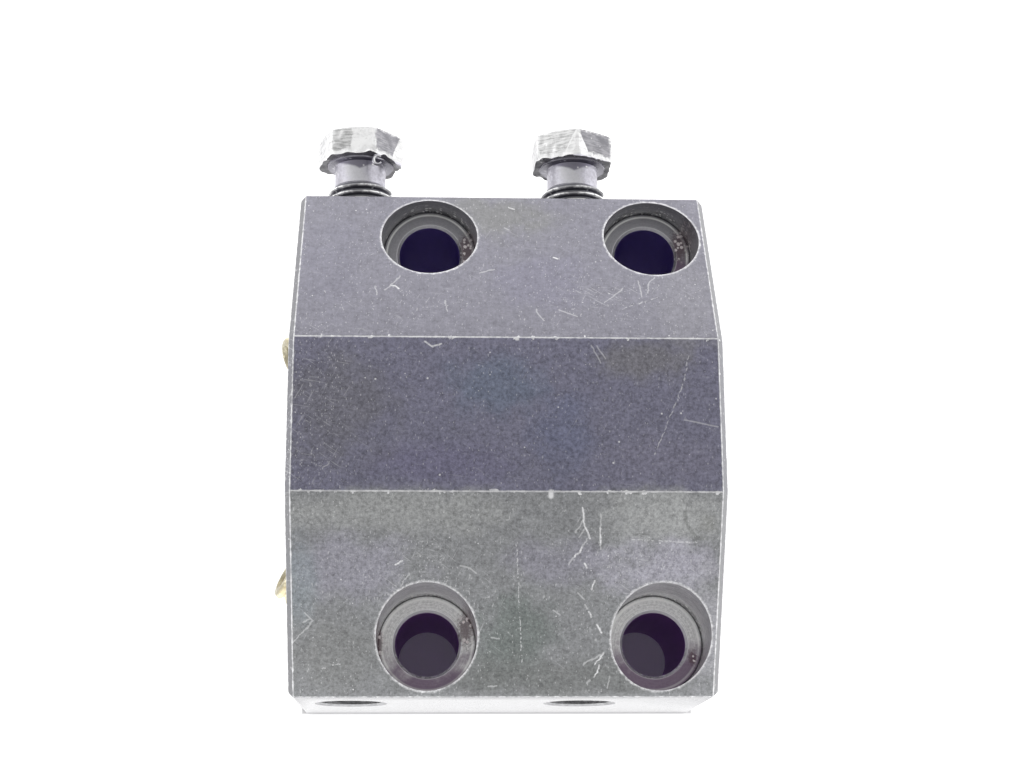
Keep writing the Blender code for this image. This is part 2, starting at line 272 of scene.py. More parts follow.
def ring_of(bm, ring, steps):
    """Points round Z. The ring is a (radius, height), or a function of the angle that gives them."""
    points = []
    for angle in circle(steps):
        radius, z = ring(angle) if callable(ring) else ring
        points.append(bm.verts.new((radius * math.cos(angle), radius * math.sin(angle), z)))
    return points


def close_up(bm):
    bmesh.ops.remove_doubles(bm, verts=bm.verts, dist=WELD)
    bmesh.ops.holes_fill(bm, edges=bm.edges)
    bmesh.ops.recalc_face_normals(bm, faces=bm.faces)
    return bm


def skinned(bm, rows):
    for lower, upper in zip(rows, rows[1:]):
        for i in range(len(lower) - 1):
            bm.faces.new((lower[i], lower[i + 1], upper[i + 1], upper[i]))
    return close_up(bm)


def lathe(outline, steps, closed=False):
    """Spin an outline of (radius, height) points round Z into a closed body."""
    bm = bmesh.new()
    rows = [ring_of(bm, ring, steps) for ring in outline]
    return skinned(bm, rows + rows[:1] if closed else rows)


def threaded(core, crest, bottom, top, steps=INLET_STEPS, before=(), after=()):
    """A right-hand thread along Z, its rows following the helix, with rings before and after it."""
    bm = bmesh.new()
    rows = [ring_of(bm, ring, steps) for ring in before]
    for turn in range(-2, int((top - bottom) / THREAD_PITCH) + 2):
        for radius, rise in zip((core, crest, crest, core), THREAD_FORM):
            row = []
            for i, a in enumerate(circle(steps)):
                z = bottom + (turn + rise + i / steps) * THREAD_PITCH
                r = radius if bottom < z < top else core
                level = min(max(z, bottom), top)
                row.append(bm.verts.new((r * math.cos(a), r * math.sin(a), level)))
            rows.append(row)
    rows += [ring_of(bm, ring, steps) for ring in after]
    return skinned(bm, rows)


def mesh_from(name, bm, turn=None):
    """Turn the shape from its own Z axis to where it points, and hand it over as a mesh."""
    mesh = bpy.data.meshes.new(name)
    if turn:
        bm.transform(turn)
    bm.to_mesh(mesh)
    bm.free()
    return mesh


def block_blank():
    """The milled section run along X, with its long edges rounded and both ends chamfered."""
    bm = bmesh.new()
    loops = []
    for x, inset in ((-half_length, END_CHAMFER), (END_CHAMFER - half_length, 0),
                     (half_length - END_CHAMFER, 0), (half_length, END_CHAMFER)):
        half, flat = half_width - inset, TOP_FLAT / 2 - inset * math.tan(SLOPE / 2)
        shoulder = side_height - inset * math.tan(math.pi / 4 - SLOPE / 2)
        outline = [(-half, inset), (half, inset), (half, shoulder), (flat, block_height - inset),
                   (-flat, block_height - inset), (-half, shoulder)]
        loops.append([bm.verts.new((x, y, z)) for y, z in outline])
    for first, second in zip(loops, loops[1:]):
        for i in range(len(first)):
            bm.faces.new((first[i - 1], first[i], second[i], second[i - 1]))
    bm.faces.new(loops[0])
    bm.faces.new(loops[-1])
    bmesh.ops.recalc_face_normals(bm, faces=bm.faces)
    lengths = {edge: abs(edge.verts[0].co.x - edge.verts[1].co.x) for edge in bm.edges}
    along = [edge for edge, length in lengths.items() if length > END_CHAMFER / 2]
    bmesh.ops.bevel(bm, geom=along, offset=EDGE_BREAK, segments=3, profile=0.5, affect="EDGES")
    return bm


UP_TO_X = Matrix.Rotation(math.pi / 2, 4, "Y")
UP_TO_MINUS_X = Matrix.Rotation(-math.pi / 2, 4, "Y")
UP_TO_Y = Matrix.Rotation(-math.pi / 2, 4, "X")
UP_TO_MINUS_Y = Matrix.Rotation(math.pi / 2, 4, "X")


cutters = []


def cut(name, bm, mat, place, turn=None):
    """Take a cutter's shape out of the block, and leave the cutter's material on the new walls."""
    cutter = place_object(name, mesh_from(name, bm, turn), mat)
    cutter.location = place
    step = block.modifiers.new(name, "BOOLEAN")
    step.operation = "DIFFERENCE"
    step.solver = "EXACT"
    step.material_mode = "TRANSFER"
    step.object = cutter
    cutters.append(cutter)


def settle(obj):
    """Apply an object's cuts and take its cutters away."""
    bpy.context.view_layer.update()
    graph = bpy.context.evaluated_depsgraph_get()
    mesh = bpy.data.meshes.new_from_object(obj.evaluated_get(graph), depsgraph=graph)
    obj.modifiers.clear()
    obj.data = mesh
    for cutter in cutters:
        bpy.data.objects.remove(cutter)


def shade(mesh, smooth_deg):
    mesh.shade_smooth()
    mesh.set_sharp_from_angle(angle=math.radians(smooth_deg))


def millimetres(paint):
    """Where a point of the piece is, measured from the piece's own middle in millimetres."""
    return paint.node("TexCoord", output="Object").scaled(MM)


def axes(place):
    parts = place.node("SeparateXYZ", {0: place})
    return parts, parts.other("Y"), parts.other("Z")


def grain(place, scale, detail=3.0, roughness=0.55):
    """Soft noise from 0 to 1, finer as the scale rises."""
    return place.node("TexNoise", {"Vector": place, "Scale": scale, "Detail": detail,
                                   "Roughness": roughness})


def specks(place, scale, size, share):
    """Small round marks: one to a cell, of mixed sizes, in a share of the cells."""
    cell = place.node("TexVoronoi", {"Vector": place, "Scale": scale}, output="Distance")
    chance = place.node("SeparateColor", {0: cell.other("Color")}, output="Red")
    return (chance.ramp(1 - share, 1.0) * size - cell).ramp(0.0, size * 0.35)


def hairs(place, angle_deg):
    """Fine scratches that all run one way."""
    turned = place.node("VectorRotate", {"Vector": place, "Angle": math.radians(angle_deg)},
                        rotation_type="Z_AXIS")
    return grain(turned.times(0.22, 3.4, 0.22), 1.0, 1.0).ramp(0.66, 0.76)


def stroke(place, points, width):
    """One scratch through points given in mm along the block and across it."""
    nearest = None
    for (x0, y0), (x1, y1) in zip(points, points[1:]):
        run = Vector((x1 - x0, y1 - y0, 0))
        away = place.vector("SUBTRACT", (x0, y0, 0))
        share = away.vector("DOT_PRODUCT", tuple(run / run.length_squared), output="Value")
        share = (share | 0.0).math("MINIMUM", 1.0)
        along = place.node("CombineXYZ", {0: share * run.x, 1: share * run.y})
        distance = away.distance(along)
        nearest = distance if nearest is None else nearest.math("MINIMUM", distance)
    return nearest.fall(width * 0.3, width)


def soft_patch(place, middle, reach, ragged):
    """A patch round a middle, both in mm: 1 inside, 0 past its reach, its border made ragged."""
    away = place.vector("SUBTRACT", (*middle, 0))
    share = away.vector("DIVIDE", (*reach, 1))
    return (share.length() + ragged).fall(0.35, 1.2)


def hypotenuse(a, b):
    return (a * a + b * b).math("SQRT")


def bolt_radius(x, y):
    """Distance in mm from the nearest bolt hole's axis."""
    xs = sorted(place.x * MM for place in bolt_places)
    return hypotenuse(abs(x - (xs[0] + xs[-1]) / 2) - (xs[-1] - xs[0]) / 2, abs(y) - bolt_across)


TOP_OXIDE = (0.207, 0.204, 0.270, 1)
FAR_OXIDE = (0.248, 0.244, 0.282, 1)
NEAR_OXIDE = (0.246, 0.251, 0.258, 1)
SIDE_OXIDE_AND_SHEEN = (0.285, 0.283, 0.296, 1)
FRONT_CHAMFER_OXIDE = (0.215, 0.215, 0.225, 1)
BACK_CHAMFER_OXIDE = (0.30, 0.30, 0.31, 1)
SMEAR_COLOUR = (0.20, 0.205, 0.20, 1)
BARE_STEEL = (0.80, 0.80, 0.81, 1)
MIDDLE_BAND = (-1, 1)           # mm either side of the block's middle, where two looks meet
# patches of lighter and darker tint on the oxide, as middle and reach in mm, colour and strength
TINT_PATCHES = [
    ((-2, 6), (11, 7), (0.165, 0.200, 0.268), 0.6),          # top flat: blue, violet, olive
    ((11, -4), (7, 9), (0.172, 0.186, 0.275), 0.6),
    ((-12, -10), (16, 5), (0.188, 0.175, 0.268), 0.5),
    ((27, 11), (11, 5), (0.215, 0.210, 0.220), 0.7),
    ((-33, 2), (13, 13), (0.190, 0.187, 0.212), 0.7),
    ((30, -9), (14, 6), (0.228, 0.220, 0.284), 0.6),
    ((-2, 47), (13, 7), (0.252, 0.254, 0.248), 0.7),         # far shoulder
    ((8, 30), (12, 8), (0.236, 0.230, 0.288), 0.6),
    ((-36, 34), (8, 16), (0.242, 0.238, 0.284), 0.6),
    ((38, 26), (9, 14), (0.272, 0.268, 0.300), 0.8),
    ((-22, -19), (26, 5), (0.328, 0.333, 0.331), 0.8),       # near shoulder
    ((-30, -29), (14, 7), (0.310, 0.304, 0.350), 0.8),
    ((-40, -32), (3.5, 9), (0.262, 0.290, 0.312), 0.7),
    ((-34, -45), (13, 7.5), (0.225, 0.229, 0.228), 0.75),
    ((2, -42), (9, 11), (0.160, 0.182, 0.172), 0.75),
    ((10, -28), (12, 5), (0.262, 0.256, 0.300), 0.7),
    ((10, -49), (30, 4.5), (0.185, 0.191, 0.188), 0.7),
    ((31, -20), (15, 6), (0.374, 0.380, 0.380), 0.9),
    ((31, -29), (14, 6), (0.372, 0.364, 0.415), 0.9),
    ((40, -40), (4, 12), (0.350, 0.348, 0.372), 0.9),
    ((39, -21), (2.2, 2.4), (0.300, 0.304, 0.298), 0.9)]
# where specks lie thick: middle and reach in mm, and how many more
SPECK_SHARE = 0.11
SPECK_DRIFTS = [((-40, 1), (9, 20), 0.65), ((27, -29), (11, 6), 0.5), ((-16, -31), (10, 8), 0.35),
                ((20, 26), (14, 6), 0.25), ((-19, 24), (8, 5), 0.25), ((-4, -38), (6, 10), 0.2)]
# deep, bright scratches and chips; shallow ones; and rows of dots where a chip skidded
DEEP_SCRATCHES = [
    [(14.6, -18.4), (15.0, -21.4), (16.2, -23.8)], [(14.7, -25.5), (13.4, -27.2)],
    [(15.4, -28.4), (15.8, -29.1)], [(17.4, -31.5), (16.8, -33.0)], [(16.5, -37.2), (17.0, -38.1)],
    [(18.1, -39.5), (19.1, -41.0)], [(18.2, -22.0), (18.3, -25.0)], [(19.6, -44.7), (18.0, -46.8)],
    [(18.8, -47.0), (17.9, -49.2)], [(-21.6, -28.6), (-20.2, -28.0)],
    [(-23.2, 28.4), (-22.3, 28.3), (-21.5, 27.5)], [(1.3, 50.0), (2.5, 49.5)], [(10.2, 36.2), (11.1, 35.8)],
    [(-16.2, 14.5), (-14.6, 13.4), (-12.9, 14.0)]]
SHALLOW_SCRATCHES = [
    [(14.7, -20.8), (13.3, -22.7)], [(15.2, -21.9), (14.0, -23.6)], [(15.8, -23.9), (14.7, -25.5)],
    [(13.4, -27.2), (12.1, -28.4)], [(14.2, -33.7), (15.4, -34.8)], [(15.7, -35.9), (16.2, -36.6)],
    [(9.5, -36.9), (10.9, -37.8)], [(19.6, -44.7), (17.9, -45.6), (15.5, -46.9)],
    [(17.1, -49.8), (16.5, -50.4)], [(18.2, -19.6), (18.2, -22.0)], [(18.3, -25.0), (18.4, -25.8)],
    [(-42.1, -43.1), (-37.8, -38.8), (-39.3, -37.4)],
    [(-39.7, -39.1), (-38.2, -38.4)], [(-2.7, -41.9), (-1.1, -42.1)], [(-3.2, -51.0), (-1.5, -50.8)],
    [(-19.0, -30.2), (-20.6, -32.4)], [(-9.0, -28.8), (-7.1, -29.2), (-5.9, -30.1)],
    [(20.8, -49.0), (20.6, -51.3)],
    [(-24.4, 27.2), (-23.3, 28.4), (-21.4, 30.9)], [(-26.4, 28.2), (-25.9, 25.9)],
    [(-12.2, 24.6), (-11.8, 21.9)], [(-5.2, 31.9), (-2.2, 32.9)], [(0.3, 44.2), (1.1, 43.7)],
    [(6.1, 22.6), (6.2, 21.6), (7.5, 19.7)], [(10.6, 22.4), (14.2, 20.8)], [(20.0, 24.3), (24.0, 28.1)],
    [(27.2, 30.1), (27.7, 25.9)], [(29.0, 27.0), (29.4, 29.6), (30.8, 31.1)], [(16.8, 13.8), (18.5, 10.3)],
    [(17.8, 13.8), (19.3, 11.3)], [(34.6, -1.1), (41.3, -2.5)], [(-35.5, -10.9), (-34.5, -10.2)]]
DOTTED_SCRATCHES = [
    [(23.4, 22.8), (31.8, 26.2)], [(35.9, 11.9), (34.9, 6.7), (33.7, 3.6), (30.0, -5.1), (28.7, -8.1)],
    [(2.0, -25.0), (2.6, -35.0), (3.4, -46.4)], [(24.4, -24.0), (37.4, -24.6)],
    [(-36.1, -47.7), (-34.3, -47.0), (-32.5, -46.8)]]
PITS = [(30.3, 0.1), (34.1, 0.2), (20.6, -9.8), (-13.1, -12.3), (21.8, -5.6), (-25.8, 6.8), (-15.6, 7.0)]
CHIP = [(8.40, -15.6), (8.42, -16.3)]
DARK_SMEAR = [(34.6, -19.1), (34.9, -20.7), (36.0, -22.6), (37.2, -23.7), (38.6, -23.8)]


def scratches(on_top, mm):
    """Every scratch and pit that the photograph shows, a little crooked and broken."""
    broken = grain(mm, 1.6, 2.0).ramp(0.42, 0.56)
    shift = (grain(mm, 0.9, 2.0) - 0.5) * 0.8
    moved = on_top.vector("ADD", on_top.node("CombineXYZ", {0: shift, 1: shift * -0.6}))
    total = 0.0
    for group, width, weight in ((DEEP_SCRATCHES, 0.25, broken * 0.4 + 0.6),
                                 (SHALLOW_SCRATCHES, 0.20, 0.42),
                                 (DOTTED_SCRATCHES, 0.17, broken * 0.6)):
        for points in group:
            total = stroke(moved, points, width) * weight | total
    for pit in PITS:
        total = total | on_top.distance((*pit, 0)).fall(0.08, 0.28)
    return total | stroke(on_top, CHIP, 0.75)


def blackened_steel():
    """The block's outer faces: thin oxide in violet and olive greys, rubbed bright at every edge."""
    mat, paint = new_material("blackened_steel")
    mm = millimetres(paint)
    x, y, z = axes(mm)
    on_top = mm.times(1, 1, 0)
    side = abs(y)
    upward = z.ramp(39.5, 40.5)
    flat_edge = TOP_FLAT * MM / 2
    length, width = half_length * MM, half_width * MM
    inner_length = (half_length - END_CHAMFER) * MM
    # the oxide of each face, patches of lighter and darker tint, and the mottling that runs through all of it
    colour = y.ramp(*MIDDLE_BAND).mix(NEAR_OXIDE, FAR_OXIDE)
    colour = side.ramp(flat_edge - 0.1, flat_edge + 0.1).mix(TOP_OXIDE, colour)
    ragged = (grain(mm, 0.16, 4.0, 0.6) - 0.5) * 1.7
    for middle, reach, tint, amount in TINT_PATCHES:
        colour = (soft_patch(on_top, middle, reach, ragged) * (upward * amount)).mix(colour, (*tint, 1))
    smear = stroke(on_top, DARK_SMEAR, 0.55) * upward
    colour = (smear * 0.5).mix(colour, SMEAR_COLOUR)
    wall = side.ramp(width - 0.25, width - 0.1)
    past_chamfer = abs(x).ramp(length - 0.1, length - 0.02)
    # side and end faces: a lighter grey, partly their ground steel and partly a painted reflection that brightens
    # them at a grazing view
    colour = (wall | past_chamfer).mix(colour, SIDE_OXIDE_AND_SHEEN)
    fine = grain(mm, 1.5, 4.0, 0.8)
    brushed = grain(mm.times(3.2, 0.35, 0.35), 1.0, 3.0, 0.6)
    blotch = grain(mm, 0.55, 3.0)
    rough_share = y.ramp(13, 18, 2.0, 1.0)
    mottle = (fine - 0.5) * rough_share + brushed * 0.3 + blotch * 0.5
    colour = colour.scaled(mottle + 0.60)
    # specks and dashes of bare metal, thickest where the block was handled and knocked
    share = SPECK_SHARE
    for middle, reach, more in SPECK_DRIFTS:
        share = soft_patch(on_top, middle, reach, ragged) * more + share
    rubbed = mm.times(1.25, 0.7, 0.8)
    dust = specks(rubbed, 2.6, 0.42, share) * 0.45
    dots = specks(mm, 0.9, 0.17, share * 0.8) * 0.85
    dashes = grain(mm.times(2.6, 0.8, 0.8), 1.1, 1.0).ramp(0.68, 0.76) * 0.35
    scuffs = hairs(mm, 35) | hairs(mm, -62) | hairs(mm, 8)
    scuffs = scuffs * (ragged + share * 3).ramp(0.0, 1.2, 0.04, 0.27)
    marks = dust | dots | dashes | scuffs
    marks = marks | scratches(on_top, mm) * upward
    # bare metal at the edges: long edges, both borders of the end chamfers, rims of the holes
    jitter = (grain(mm, 1.1, 3.0) - 0.5) * 0.75
    long_top = hypotenuse(side - flat_edge, z - block_height * MM)
    long_side = hypotenuse(side - width, z - side_height * MM)
    end_in = abs(abs(x) - inner_length)
    end_out = abs(abs(x) - length)
    on_end = abs(axes(paint.node("TexCoord", output="Normal"))[0]).ramp(0.9, 0.98)
    chips = grain(mm, 0.7, 3.0).ramp(0.58, 0.72, 0.0, 0.5)
    lines = (long_top + jitter * 0.4 - chips).fall(0.06, 0.26)
    lines = lines | (long_side + jitter * 0.7).ramp(0.04, 0.26, 0.8, 0.0)
    lines = lines | (end_in + jitter * 0.6).ramp(0.02, 0.20, 0.85, 0.0)
    lines = lines | (end_out + jitter * 0.6).ramp(0.02, 0.18, 0.6, 0.0) * (1 - on_end)
    rim = BOLT_HEAD_HOLE * MM / 2
    rims = (bolt_radius(x, y) + jitter).fall(rim + 0.10, rim + 0.55)
    lines = lines | rims * fine.ramp(0.38, 0.6, 0.45, 1.0) * (upward * 0.95)
    chamfer = (abs(x) - inner_length).ramp(-0.05, 0.05)
    chamfer_oxide = x.ramp(*MIDDLE_BAND).mix(FRONT_CHAMFER_OXIDE, BACK_CHAMFER_OXIDE)
    colour = (chamfer * (1 - on_end) * 0.85).mix(colour, chamfer_oxide)
    colour = (lines * grain(mm, 0.6).ramp(0.3, 0.6, 0.55, 0.95)).mix(colour, BARE_STEEL)
    colour = (marks * 0.85).mix(colour, BARE_STEEL)
    roughness = wall.ramp(0.0, 1.0, 0.46, 0.16) + (fine - 0.5) * 0.2 - lines * 0.08
    bump = (fine - dust).bump(0.35, 0.00004)
    finish_material(paint, colour, roughness, Metallic=0.92, Normal=bump)
    return mat


# crusts in the bolt holes: middle and reach in mm
CRUSTS = [((-7.6, -38.6), (1.9, 4.0)), ((-7.6, 43.0), (2.2, 4.2)), ((38.6, 44.5), (2.2, 4.0)),
          ((-25.2, -41.5), (0.8, 3.5)), ((38.9, -44.5), (1.0, 2.0))]
NEAR_WALL = (0.46, 0.455, 0.475, 1), (0.94, 0.93, 0.95, 1)      # dark and light of the turning marks
FAR_WALL = (0.20, 0.20, 0.215, 1)
WALL_PITS = (0.035, 0.034, 0.040, 1)
WALL_FLECKS = (0.90, 0.90, 0.88, 1)
NEAR_SEAT = (0.50, 0.50, 0.495, 1), (0.95, 0.95, 0.94, 1)
FAR_SEAT = (0.24, 0.235, 0.27, 1)
SEAT_STAIN = (0.165, 0.105, 0.175, 1)
SEAT_RING = (0.92, 0.92, 0.90, 1)
SEAT_CORNER_SHADE = (0.05, 0.05, 0.055, 1)
HOLE_MOUTH = (0.84, 0.84, 0.85, 1)
NEAR_HOLE = (0.330, 0.110, 0.480, 1)        # oily blue and violet below the seats
FAR_HOLE = (0.310, 0.230, 0.640, 1)
CRUST_COLOUR = (0.13, 0.085, 0.10, 1)
CRUST_METAL = (0.86, 0.80, 0.80, 1)


def bolt_hole_steel():
    """Counterbore and clearance hole: turned, oiled dark at the foot, crusted on the seat."""
    mat, paint = new_material("bolt_hole_steel")
    mm = millimetres(paint)
    x, y, z = axes(mm)
    radius = bolt_radius(x, y)
    floor_level = bolt_floor * MM
    head, hole = BOLT_HEAD_HOLE * MM / 2, BOLT_HOLE * MM / 2
    chamfer = BOLT_HOLE_CHAMFER * MM
    on_seat = abs(z - floor_level).fall(0.02, 0.06)
    below = (z - (floor_level - chamfer)).fall(-0.1, 0.1)
    fine = grain(mm, 1.8, 4.0, 0.75)
    cloud = grain(mm.vector("ADD", (11, 5, 2)), 0.25, 4.0, 0.6)
    turning = grain(radius.node("CombineXYZ", {0: radius * 3.2, 1: fine * 0.6}), 1.0, 2.0)
    # the wall: a bright lip, fine turning marks, and pitted black above its foot
    ring_marks = grain(mm.times(0.3, 0.3, 2.4), 1.5, 3.0)
    wall = (ring_marks * 0.6 + fine * 0.4).ramp(0.3, 0.7).mix(*NEAR_WALL)
    foot = (z + fine * 6 - floor_level).fall(3.5, 7.5) * (fine + cloud).ramp(0.85, 1.15)
    wall = y.ramp(*MIDDLE_BAND, 0.0, 0.6).mix(wall, FAR_WALL)
    wall = (foot * 0.85).mix(wall, WALL_PITS)
    flecks = specks(mm, 1.3, 0.65, 0.7) * (z - floor_level).fall(1.5, 6.5)
    wall = (flecks * cloud.ramp(0.38, 0.48)).mix(wall, WALL_FLECKS)
    shoulder = block_height * MM - (abs(y) - TOP_FLAT * MM / 2) * math.tan(SLOPE)
    lip = (shoulder - z + (fine - 0.5) * 0.5).fall(0.1, 0.45)
    wall = lip.mix(wall, BARE_STEEL)
    # the seat: light and turned, stained violet brown towards the near side
    seat = (turning * 0.45 + fine * 0.55).ramp(0.3, 0.7).mix(*NEAR_SEAT)
    seat = y.ramp(*MIDDLE_BAND, 0.0, 0.75).mix(seat, FAR_SEAT)
    near = (abs(y) - bolt_across) * y.ramp(*MIDDLE_BAND, 1.0, -1.0)
    stained = (near + (cloud - 0.5) * 14 + x * 0.05).ramp(-1.5, 6.5)
    seat = (stained * 0.88).mix(seat, SEAT_STAIN)
    seat_ring = abs(radius - head + 0.75).fall(0.1, 0.3)
    seat = (seat_ring * (1 - stained * 0.7)).mix(seat, SEAT_RING)
    # painted shade in a thin ring where the seat meets the wall
    seat = ((radius - head + 0.22).ramp(-0.12, 0.05) * 0.85).mix(seat, SEAT_CORNER_SHADE)
    colour = on_seat.mix(wall, seat)
    mouth = (radius - hole).fall(chamfer, chamfer + 0.25)
    colour = (mouth * (0.9 - stained * 0.5)).mix(colour, HOLE_MOUTH)
    colour = below.mix(colour, y.ramp(*MIDDLE_BAND).mix(NEAR_HOLE, FAR_HOLE))
    # dirt caked on in a few places, with specks of metal in it
    from_above = mm.times(1, 1, 0)
    crusted = 0.0
    for middle, reach in CRUSTS:
        crusted = soft_patch(from_above, middle, reach, (fine - 0.5) * 1.6) | crusted
    crusted = crusted * (1 - below)
    colour = (crusted * 0.75).mix(colour, CRUST_COLOUR)
    crust = specks(mm, 1.4, 0.7, 0.9) * crusted
    colour = crust.mix(colour, CRUST_METAL)
    height = fine * 0.5 + turning * 0.2 * on_seat + crust
    bump = height.bump(0.4, 0.00006)
    roughness = on_seat.ramp(0.0, 1.0, 0.42, 0.40)
    finish_material(paint, colour, roughness, Metallic=0.85, Normal=bump)
    return mat


BORE_STEEL = (0.26, 0.26, 0.27, 1), (0.42, 0.42, 0.43, 1)
BORE_MOUTH = (0.58, 0.58, 0.59, 1)
TAPPED_STEEL = (0.30, 0.30, 0.31, 1), (0.50, 0.50, 0.51, 1)


def bored_steel():
    """Bar bore: reamed and left bright grey, with faint marks round it and along it."""
    mat, paint = new_material("bored_steel")
    mm = millimetres(paint)
    lines = grain(mm.times(3.0, 0.25, 0.25), 1.0, 4.0, 0.7)
    cloud = grain(mm, 0.08, 3.0)
    colour = (lines * 0.6 + cloud * 0.4).ramp(0.35, 0.65).mix(*BORE_STEEL)
    mouth = (abs(axes(mm)[0]) - (half_length - BAR_BORE_CHAMFER) * MM).ramp(-0.1, 0.1)
    colour = mouth.mix(colour, BORE_MOUTH)
    bump = lines.bump(0.3, 0.00003)
    roughness = cloud.ramp(0.3, 0.7, 0.25, 0.36)
    finish_material(paint, colour, roughness, Metallic=0.95, Normal=bump)
    return mat


def tapped_steel():
    """Threads and drillings: dark oxide, mottled lighter in places."""
    mat, paint = new_material("tapped_steel")
    mm = millimetres(paint)
    fine = grain(mm, 1.4, 4.0, 0.7)
    colour = fine.ramp(0.35, 0.65).mix(*TAPPED_STEEL)
    bump = fine.bump(0.4, 0.00005)
    roughness = fine.ramp(0.3, 0.7, 0.3, 0.5)
    finish_material(paint, colour, roughness, Metallic=0.9, Normal=bump)
    return mat


block = place_object("holder_block_body", mesh_from("holder_block_body", block_blank()), blackened_steel())
hole_steel, bore_steel, thread_steel = bolt_hole_steel(), bored_steel(), tapped_steel()
bore, wide = BAR_BORE / 2, BAR_BORE / 2 + BAR_BORE_CHAMFER + PAST
bore_outline = [(0, half_length + PAST), (wide, half_length + PAST), (bore, half_length - BAR_BORE_CHAMFER),
                (bore, BAR_BORE_CHAMFER - half_length), (wide, -half_length - PAST), (0, -half_length - PAST)]
cut("bar_bore", lathe(bore_outline, BORE_STEPS), bore_steel, (0, 0, bar_centre.z), UP_TO_X)
hole, head = BOLT_HOLE / 2, BOLT_HEAD_HOLE / 2
bolt_outline = [(0, block_height), (head, block_height), (head, bolt_floor),
                (hole + BOLT_HOLE_CHAMFER, bolt_floor), (hole, bolt_floor - BOLT_HOLE_CHAMFER),
                (hole, BOLT_HOLE_CHAMFER), (hole + 2 * BOLT_HOLE_CHAMFER, -BOLT_HOLE_CHAMFER),
                (0, -BOLT_HOLE_CHAMFER)]
for number, place in enumerate(bolt_places):
    cut(f"bolt_hole_{number}", lathe(bolt_outline, BOLT_STEPS), hole_steel, (place.x, place.y, 0))
sink, screw_hole = COUNTERSINK / 2, SCREW_THREAD / 2 + SCREW_GAP
screw_outline = [(0, 0), (screw_hole, 0), (screw_hole, half_width - (sink - screw_hole)),
                 (sink + PAST, half_width + PAST), (0, half_width + PAST)]
for side, place in screw_places.items():
    cut(f"screw_hole_{side}", lathe(screw_outline, SMALL_STEPS), thread_steel,
        (place.x, 0, place.z), UP_TO_Y)
crest = (SCREW_THREAD - THREAD_PITCH) / 2
for number, place in enumerate(empty_places):
    bm = threaded(crest, SCREW_THREAD / 2, bore - PAST, half_width - THREAD_PITCH / 4,
                  before=[(crest, bore - 2 * PAST)],
                  after=[(crest, half_width - (sink - crest)), (sink + PAST, half_width + PAST)])
    cut(f"empty_hole_{number}", bm, thread_steel, (place.x, 0, place.z), UP_TO_MINUS_Y)
ring, seal, coolant, inlet = RING_HOLE / 2, SEAL_HOLE / 2, COOLANT_HOLE / 2, INLET_HOLE / 2
groove_inner, groove_outer, groove_depth = INLET_GROOVE
for side, place in nozzle_places.items():
    end, top = INLET_SETBACK + inlet / 2, place.z + coolant
    inlet_place = (INLET_SETBACK - half_length, place.y, 0)
    pocket = [(0, -PAST), (ring, -PAST), (ring, RING_HOLE_DEPTH), (seal, RING_HOLE_DEPTH),
              (seal, SEAL_HOLE_DEPTH), (coolant, SEAL_HOLE_DEPTH), (coolant, end), (0, end + coolant / 2)]
    drilling = [(0, -PAST), (inlet, -PAST), (inlet, top), (0, top + inlet / 2)]
    groove = [(groove_inner, -PAST), (groove_outer, -PAST), (groove_outer, groove_depth),
              (groove_inner, groove_depth)]
    cut(f"pocket_{side}", lathe(pocket, SMALL_STEPS), thread_steel,
        (-half_length, place.y, place.z), UP_TO_X)
    cut(f"inlet_{side}", lathe(drilling, INLET_STEPS), thread_steel, inlet_place)
    cut(f"groove_{side}", lathe(groove, INLET_STEPS, closed=True), thread_steel, inlet_place)
settle(block)
shade(block.data, BLOCK_SMOOTH_DEG)
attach(block, "block")
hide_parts("holder_block")

# Retaining rings: turned steel, pressed into the end face, each lip holding a nozzle's ball.
# They stay with the block.
RING_OUTER = 0.0154
RING_EDGE = 0.0003
BALL = 0.0124
BALL_GAP = 0.0003
RING_STEPS = 96
TURNED_SMOOTH_DEG = 30
TURNED_STEEL = (0.14, 0.13, 0.13, 1), (0.32, 0.31, 0.30, 1)


def arc(centre, radius, start_deg, end_deg, count):
    angles = [math.radians(start_deg + (end_deg - start_deg) * i / count) for i in range(count + 1)]
    return [(centre[0] + radius * math.cos(a), centre[1] + radius * math.sin(a)) for a in angles]


def turned_piece(name, bm, mat, place, turn, body, node, smooth_deg=TURNED_SMOOTH_DEG):
    """Put a turned piece in place, shade it, and let it stand for its node."""
    piece = place_object(name, mesh_from(name, bm, turn), mat)
    shade(piece.data, smooth_deg)
    piece.location = place
    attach(piece, body)
    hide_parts(node)


def turned_steel():
    """Lathe-turned steel, dulled, with fine rings round its axis."""
    mat, paint = new_material("turned_steel")
    mm = millimetres(paint)
    radius = mm.times(0, 1, 1).length()
    fine = grain(mm, 2.5, 4.0, 0.7)
    rings = (radius * 40 + fine * 3).math("SINE")
    colour = fine.ramp(0.3, 0.7).mix(*TURNED_STEEL)
    bump = (rings * 0.5 + fine).bump(0.3, 0.00003)
    roughness = fine.ramp(0.3, 0.7, 0.28, 0.42)
    finish_material(paint, colour, roughness, Metallic=0.95, Normal=bump)
    return mat


ring_steel = turned_steel()
socket_radius, ring_radius = BALL / 2 + BALL_GAP, RING_OUTER / 2
ring_face = half_length + nozzle_places["upper"].x     # from the ball's centre out to the end face
lip_deg = math.degrees(math.asin(ring_face / socket_radius))
ring_back = ring_face + BALL_GAP - RING_HOLE_DEPTH
ring_outline = [(ring_radius, ring_back), (ring_radius, ring_face - RING_EDGE),
                (ring_radius - RING_EDGE, ring_face)]
ring_outline += reversed(arc((0, 0), socket_radius, 0, lip_deg, 8))
ring_outline.append((socket_radius, ring_back))
for side, place in nozzle_places.items():
    turned_piece(f"retaining_ring_{side}", lathe(ring_outline, RING_STEPS, closed=True), ring_steel, place,
                 UP_TO_MINUS_X, "block", f"nozzle_ring_{side}")

# Ball seals and inlet seals: moulded rubber rings, oily black, seen only through the openings.
# The solids of the frame already have their shape, so they only get their finish.
RUBBER = (0.018, 0.018, 0.019, 1), (0.045, 0.044, 0.046, 1)


